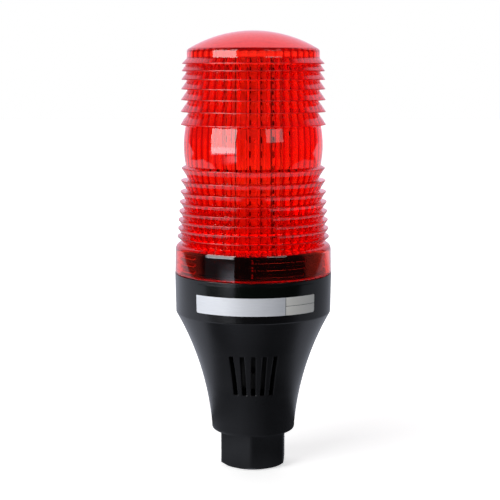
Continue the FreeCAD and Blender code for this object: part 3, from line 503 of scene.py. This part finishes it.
def lens_shell():
    """One section from the top of the inner dome, down inside, round the lower edge and up outside to the
    crown. Inside rows carry two weights: flute, which draws the wall in by sag (1 - u^2) with u from -1
    to 1 over each flute, and rib, which draws it in by the rib's height within the lock's four sectors.
    Also gives each point's frost: 1 on the rounded edges of the ring tips, and 0 elsewhere."""
    columns = FLUTES * FLUTE_STEPS
    theta = (np.arange(columns) + FLUTE_STEPS / 2) * 2 * np.pi / columns
    u = (np.arange(columns) % FLUTE_STEPS) * 2 / FLUTE_STEPS - 1
    lock = ((np.degrees(theta) - LOCK_START) % 90 <= LOCK_SPAN).astype(float)
    dome = np.linspace(0.06, 1, DOME_ROWS)
    inner_z = np.linspace(INNER_TOP, ROOF_Z, INNER_ROWS)
    inner_r = INNER_R - (inner_z - INNER_LOW) * INNER_TAPER
    rib_z = (np.array(RIB_Z)[:, None] + [RIB_FOOT, RIB_CREST, -RIB_CREST, -RIB_FOOT]).ravel()
    collar_z = np.concatenate([[ROOF_Z, ROOF_Z - 0.5], rib_z, [LENS_LOW + LEAD_IN]])
    in_r = np.concatenate([dome * DOME_EDGE_R, inner_r, np.full(len(collar_z), COLLAR_BORE)])[:, None]
    in_z = np.concatenate([np.zeros(DOME_ROWS), inner_z, collar_z])[:, None]
    flute = np.concatenate([dome, np.ones(INNER_ROWS), np.zeros(len(collar_z))])[:, None]
    rib = np.zeros((len(in_r), 1))
    rib[-1 - len(rib_z):-1, 0] = np.tile([0, 1, 1, 0], len(RIB_Z))
    in_r = in_r - flute * FLUTE_SAG * (1 - u ** 2) - rib * RIB_H * lock
    in_z = np.broadcast_to(in_z, in_r.shape).copy()
    ceiling = DOME_R - DOME_T
    in_z[:DOME_ROWS] = DOME_CENTRE + np.sqrt(ceiling ** 2 - in_r[:DOME_ROWS] ** 2)

    edge = [(COLLAR_BORE, LENS_LOW + LEAD_IN), (COLLAR_BORE + LEAD_IN, LENS_LOW), (COLLAR_R, LENS_LOW),
            (COLLAR_R - 0.03, LENS_LOW + 1.5)]
    edge = rounded(edge, LIP_ROUNDS)[1:-1]
    side = COLLAR_R - COLLAR_DRAFT
    bend = np.radians(np.linspace(0, 90, SHOULDER_ROWS))
    shoulder_z = COLLAR_TOP - SHOULDER_R * (1 - np.sin(bend))
    shoulder = np.stack([side - SHOULDER_R * (1 - np.cos(bend)), shoulder_z], 1)
    shoulder = np.concatenate([[(side + 0.004, COLLAR_TOP - SHOULDER_R - 0.4)], shoulder])
    rise = np.linspace(-1, 1, WINDOW_ROWS)
    window_z = (WINDOW_LOW + WINDOW_HIGH) / 2 + rise * (WINDOW_HIGH - WINDOW_LOW) / 2
    window = np.stack([WINDOW_R + WINDOW_BULGE * (1 - rise ** 2), window_z], 1)
    crown_r = np.linspace(CAP_R - 0.6, 0.8, CROWN_ROWS)
    crown = np.stack([crown_r, DOME_CENTRE + np.sqrt(DOME_R ** 2 - crown_r ** 2)], 1)
    low, high = ring_profile()
    lower = rounded(np.concatenate([shoulder[-1:], low, window[:1]]), TIP_EDGE, TIP_STEPS)[1:-1]
    upper = np.concatenate([window[-1:], high, [(CAP_R, CAP_HIGH)], crown[:2]])
    reach = [TIP_EDGE] * (len(high) - 1) + [CAP_FILLET, CAP_ROUND, CAP_ROUND]
    upper = rounded(upper, reach, TIP_STEPS)[1:-1]
    outside = np.concatenate([edge, shoulder, lower, window, upper, crown[2:]])

    root, tip = [0] * (TIP_STEPS + 2), [0] + [1] * (TIP_STEPS + 1)
    low_tips = np.tile(root + tip + tip[::-1], LOW_RINGS)
    high_tips = np.tile(tip + tip[::-1] + root, HIGH_RINGS)
    low_row = len(in_r) + len(edge) + len(shoulder)
    high_row = low_row + len(lower) + len(window)
    frost = np.zeros(len(in_r) + len(outside))
    frost[low_row:low_row + len(low_tips)] = low_tips
    frost[high_row:high_row + len(high_tips)] = high_tips
    frost = np.append(np.repeat(frost, columns), [0, 0])

    r = np.concatenate([in_r, np.broadcast_to(outside[:, :1], (len(outside), columns))])
    z = np.concatenate([in_z, np.broadcast_to(outside[:, 1:], (len(outside), columns))])
    points = np.stack([r * np.cos(theta), r * np.sin(theta), z], -1).reshape(-1, 3)
    count = len(points)
    points = np.concatenate([points, [(0, 0, DOME_CENTRE + ceiling), (0, 0, DOME_CENTRE + DOME_R)]])
    k = np.arange(columns)
    after = (k + 1) % columns
    first = np.stack([np.full(columns, count), after, k], -1)
    last = np.stack([np.full(columns, count + 1), count - columns + k, count - columns + after], -1)
    quads = ring_quads(len(r), columns, False).reshape(-1, 4)
    return points, quads.tolist() + first.tolist() + last.tolist(), frost


# Clear red polycarbonate: the dye takes out green and blue over a few millimetres, so thin edges are pale
# and thick walls deep red. The mould was polished, which gives a glossy, slightly uneven skin, but not in
# the narrow grooves that form the ring tips, so these are frosted and catch pale lines.
SKIN_RIPPLE = 9.0
red_clear, tree = bare_material("clear_red_polycarbonate")
place = add(tree, "ShaderNodeTexCoord").outputs["Object"]
ripple = {"Vector": place, "Scale": 1 / (SKIN_RIPPLE * MM), "Detail": 2.0}
ripple = add(tree, "ShaderNodeTexNoise", ripple).outputs["Fac"]
haze = {"Value": ripple, "From Min": 0.3, "From Max": 0.7, "To Min": 0.004, "To Max": 0.02}
haze = add(tree, "ShaderNodeMapRange", haze).outputs["Result"]
tips = add(tree, "ShaderNodeAttribute", attribute_name="frosted_tip").outputs["Fac"]
gloss = add(tree, "ShaderNodeMapRange", {"Value": tips, "To Min": haze, "To Max": 0.35}).outputs["Result"]
skin = add(tree, "ShaderNodeBump", {"Height": ripple, "Strength": 0.1, "Distance": 0.1 * MM})
shader = {"Base Color": linear("#ffc4c4"), "Transmission Weight": 1.0, "IOR": 1.585,
          "Roughness": gloss, "Normal": skin.outputs["Normal"]}
shader = add(tree, "ShaderNodeBsdfPrincipled", shader)
dye = add(tree, "ShaderNodeVolumeAbsorption", {"Color": linear("#fd9730"), "Density": 620.0})
add(tree, "ShaderNodeOutputMaterial", {"Surface": shader.outputs["BSDF"], "Volume": dye.outputs["Volume"]})
lens_points, lens_faces, lens_frost = lens_shell()
lens = solid("red_lens", lens_points, lens_faces, red_clear, 20.0)
lens.data.attributes.new("frosted_tip", "FLOAT", "POINT").data.foreach_set("value", lens_frost)
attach(lens, "lens_body")
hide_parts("lens")

# Studio floor: a pale matt floor that keeps the part's shadow. In gloss it glows with a painted reflection
# of a white table, painted brighter on the left and dim towards the camera, with a painted shadow close
# around the part, painted light and shade at its foot, and a painted pool of lamplight far front left.
# Through the lens it glows as plain pale floor, painted dim towards the camera. Lengths are metres from the
# part's axis, and a strength of 1 is white.
FLOOR_HALF, FLOOR_DROP = 4.0, 0.0005
POOL_ALONG, POOL_ACROSS = (-0.766, -0.643, 0.0), (-0.643, 0.766, 0.0)
TABLE_BEHIND, POOL_LIGHT, POOL_SPREAD, TABLE_SHADE = 0.95, 3.5, 0.43, 0.02
white_floor, tree = bare_material("pale_studio_floor")
path = add(tree, "ShaderNodeLightPath").outputs
place = add(tree, "ShaderNodeTexCoord").outputs["Object"]
far = add(tree, "ShaderNodeVectorMath", {0: place}, operation="LENGTH").outputs["Value"]
axis = add(tree, "ShaderNodeSeparateXYZ", {"Vector": place}).outputs
side = add(tree, "ShaderNodeMath", {0: axis["X"]}, operation="ABSOLUTE").outputs[0]
corner = {0: side, 1: -0.8, 2: axis["Y"]}
corner = add(tree, "ShaderNodeMath", corner, operation="MULTIPLY_ADD").outputs[0]
wedge = {0: axis["Y"], 1: -1.1, 2: side}
wedge = add(tree, "ShaderNodeMath", wedge, operation="MULTIPLY_ADD").outputs[0]
along = add(tree, "ShaderNodeVectorMath", {0: place, 1: POOL_ALONG}, operation="DOT_PRODUCT")
along = along.outputs["Value"]
across = add(tree, "ShaderNodeVectorMath", {0: place, 1: POOL_ACROSS}, operation="DOT_PRODUCT")
across = across.outputs["Value"]
slant = add(tree, "ShaderNodeMath", {0: across, 1: along}, operation="DIVIDE").outputs[0]
across = add(tree, "ShaderNodeMath", {0: across}, operation="ABSOLUTE").outputs[0]
beam = {0: along, 1: -POOL_SPREAD, 2: across}
beam = add(tree, "ShaderNodeMath", beam, operation="MULTIPLY_ADD").outputs[0]
# Painted table light: brighter on the left, where the large softbox stands, and dimmer to the right.
painted_table_light = {"Value": axis["X"], "From Min": 0.35, "From Max": -0.35, "To Min": 0.4, "To Max": 1.0}
painted_table_light = add(tree, "ShaderNodeMapRange", painted_table_light).outputs["Result"]
# Painted light and shade at the part's foot: lit on the left and shaded on the right.
painted_foot_light_and_shade = {"Value": axis["X"], "From Min": 0.03, "From Max": -0.03, "To Min": 0.1, "To Max": 0.5}
painted_foot_light_and_shade = add(tree, "ShaderNodeMapRange", painted_foot_light_and_shade).outputs["Result"]
# Painted pool of lamplight far front left, with a painted glare that leads up to it.
painted_glare = {"Value": slant, "From Min": 0.1, "From Max": -0.42, "To Min": 0.12, "To Max": 2.4}
painted_glare = add(tree, "ShaderNodeMapRange", painted_glare, interpolation_type="SMOOTHSTEP").outputs["Result"]
painted_glare = {"Value": far, "From Min": 0.86, "From Max": 0.7, "To Min": 0.12, "To Max": painted_glare}
painted_glare = add(tree, "ShaderNodeMapRange", painted_glare, interpolation_type="SMOOTHSTEP").outputs["Result"]
painted_pool = {"Value": far, "From Min": 0.89, "From Max": 0.95, "To Min": painted_glare, "To Max": POOL_LIGHT}
painted_pool = add(tree, "ShaderNodeMapRange", painted_pool, interpolation_type="SMOOTHSTEP").outputs["Result"]
# Each patch of painted light keeps its strength within soft edges and is painted down to its shade beyond
# them, each edge a measure with its dim and bright end: the table's sides, cut corners and front edge, and
# a painted shadow close around the part; the back of the table; the foot's edge; the pool's beam and near
# end.
patches = ((painted_table_light, TABLE_SHADE, ((side, 0.69, 0.65), (corner, -0.53, -0.5), (axis["Y"], -0.16, -0.13),
                                 (far, 0.0785, 0.0805))),
           (TABLE_BEHIND, TABLE_SHADE, ((axis["Y"], 0.4, 0.6), (wedge, 0.62, 0.5))),
           (painted_foot_light_and_shade, 0.0, ((far, 0.068, 0.062),)),
           (painted_pool, 0.0, ((beam, 0.01, -0.01), (along, 0.38, 0.5))))
painted_reflection = 0.0
for patch, shade, edges in patches:
    for measure, dim, bright in edges:
        edge = {"Value": measure, "From Min": dim, "From Max": bright, "To Min": shade, "To Max": patch}
        patch = add(tree, "ShaderNodeMapRange", edge, interpolation_type="SMOOTHSTEP").outputs["Result"]
    painted_reflection = add(tree, "ShaderNodeMath", {0: painted_reflection, 1: patch}, operation="MAXIMUM").outputs[0]
# Seen through the lens the floor is painted dim towards the camera and full white behind the part.
through = {"Value": axis["Y"], "From Min": -0.12, "From Max": 0.0, "To Min": 0.05, "To Max": 1.0}
through = add(tree, "ShaderNodeMapRange", through, interpolation_type="SMOOTHSTEP").outputs["Result"]
shown = {"Value": path["Is Transmission Ray"], "To Min": painted_reflection, "To Max": through}
shown = add(tree, "ShaderNodeMapRange", shown).outputs["Result"]
tint = {"Factor": path["Is Transmission Ray"], 6: linear("#e3e8f7"), 7: linear("#fbe6fc")}
tint = add(tree, "ShaderNodeMix", tint, data_type="RGBA").outputs[2]
# For every ray but the camera's the floor is no matt surface: it glows with these painted reflections.
painted_glow = add(tree, "ShaderNodeEmission", {"Color": tint, "Strength": shown}).outputs["Emission"]
glow = {"Value": far, "From Min": 0.03, "From Max": 0.3, "To Min": 0.6, "To Max": 1.0}
glow = add(tree, "ShaderNodeMapRange", glow, interpolation_type="SMOOTHSTEP").outputs["Result"]
glow = add(tree, "ShaderNodeEmission", {"Color": linear("#ffffff"), "Strength": glow}).outputs["Emission"]
matt = add(tree, "ShaderNodeBsdfDiffuse", {"Color": linear("#f4f4f4")}).outputs["BSDF"]
pale = add(tree, "ShaderNodeAddShader", {0: matt, 1: glow}).outputs["Shader"]
either = add(tree, "ShaderNodeMixShader", {"Fac": path["Is Camera Ray"], 1: painted_glow, 2: pale})
add(tree, "ShaderNodeOutputMaterial", {"Surface": either.outputs["Shader"]})
floor_signs = ((-1, -1), (1, -1), (1, 1), (-1, 1))
floor_corners = [(x * FLOOR_HALF, y * FLOOR_HALF, -FLOOR_DROP) for x, y in floor_signs]
floor_mesh = bpy.data.meshes.new("studio_floor")
floor_mesh.from_pydata(floor_corners, [], [(0, 1, 2, 3)])
floor_mesh.materials.append(white_floor)
studio_floor = bpy.data.objects.new("studio_floor", floor_mesh)
bpy.context.scene.collection.objects.link(studio_floor)

# Surround and lamps: a white surround that shows in gloss as a pale sweep behind the part and as a dim
# room at the sides and around the camera, and through the lens as white. A large softbox stands front
# left and a weaker one front right.
ROOM_SHADE, AIM_Z = 0.04, 0.11
surround = bpy.data.worlds.new("white_surround")
surround.use_nodes = True
tree = surround.node_tree
tree.nodes.clear()
path = add(tree, "ShaderNodeLightPath").outputs
heading = add(tree, "ShaderNodeTexCoord").outputs["Generated"]
axis = add(tree, "ShaderNodeSeparateXYZ", {"Vector": heading}).outputs
side = add(tree, "ShaderNodeMath", {0: axis["X"]}, operation="ABSOLUTE").outputs[0]
sweep = {"Value": axis["X"], "From Min": 0.4, "From Max": 0.0, "To Min": 0.85, "To Max": 1.0}
sweep = add(tree, "ShaderNodeMapRange", sweep).outputs["Result"]
sweep = {"Value": axis["Y"], "From Min": 0.25, "From Max": 0.5, "To Min": ROOM_SHADE, "To Max": sweep}
sweep = add(tree, "ShaderNodeMapRange", sweep, interpolation_type="SMOOTHSTEP").outputs["Result"]
sweep = {"Value": side, "From Min": 0.62, "From Max": 0.82, "To Min": sweep, "To Max": ROOM_SHADE}
sweep = add(tree, "ShaderNodeMapRange", sweep, interpolation_type="SMOOTHSTEP").outputs["Result"]
through = {"Value": axis["Y"], "From Min": -0.4, "From Max": 0.1, "To Min": 1.6, "To Max": 1.0}
through = add(tree, "ShaderNodeMapRange", through, interpolation_type="SMOOTHSTEP").outputs["Result"]
level = {"Value": path["Is Transmission Ray"], "To Min": sweep, "To Max": through}
level = add(tree, "ShaderNodeMapRange", level).outputs["Result"]
level = {"Value": path["Is Camera Ray"], "To Min": level, "To Max": 1.0}
level = add(tree, "ShaderNodeMapRange", level).outputs["Result"]
plain = {0: path["Is Camera Ray"], 1: path["Is Diffuse Ray"]}
plain = add(tree, "ShaderNodeMath", plain, operation="MAXIMUM").outputs[0]
tint = {"Factor": plain, 6: linear("#fbe6fc"), 7: linear("#ffffff")}
tint = add(tree, "ShaderNodeMix", tint, data_type="RGBA").outputs[2]
light = add(tree, "ShaderNodeBackground", {"Color": tint, "Strength": level})
add(tree, "ShaderNodeOutputWorld", {"Surface": light.outputs["Background"]})
bpy.context.scene.world = surround


def softbox(name, azimuth, height, distance, width, tall, power):
    """A rectangular lamp at an azimuth from the front, turned to face the middle of the object."""
    lamp = bpy.data.lights.new(name, "AREA")
    lamp.shape, lamp.size, lamp.size_y, lamp.energy = "RECTANGLE", width, tall, power
    box = bpy.data.objects.new(name, lamp)
    a = np.radians(azimuth)
    box.location = (distance * np.sin(a), -distance * np.cos(a), height)
    aim = np.array([0, 0, AIM_Z]) - np.array(box.location)
    tilt, turn = np.arccos(-aim[2] / np.linalg.norm(aim)), np.arctan2(aim[1], aim[0]) - np.pi / 2
    box.rotation_euler = (tilt, 0, turn)
    bpy.context.scene.collection.objects.link(box)


softbox("front_left_box", azimuth=-50, height=0.30, distance=0.75, width=0.62, tall=0.55, power=6.0)
softbox("front_right_box", azimuth=35, height=0.40, distance=0.85, width=0.45, tall=0.40, power=0.9)

# Camera: a long lens in front of the part, level with the foot of its dome and tilted a little down.
# Light on its way through the red lens crosses many walls, so it may bounce often.
BOUNCES = 32
eye = bpy.data.cameras.new("photo_view")
eye.sensor_width, eye.lens = 36.0, 92.3
camera = bpy.data.objects.new("photo_view", eye)
camera.location = (-0.00145, -0.5706, 0.17785)
camera.rotation_euler = (np.radians(82.0), 0, 0)
bpy.context.scene.collection.objects.link(camera)
bpy.context.scene.camera = camera
bpy.context.scene.view_settings.view_transform = "Standard"
bpy.context.scene.cycles.max_bounces = BOUNCES
bpy.context.scene.cycles.transmission_bounces = BOUNCES
bpy.context.scene.cycles.glossy_bounces = BOUNCES
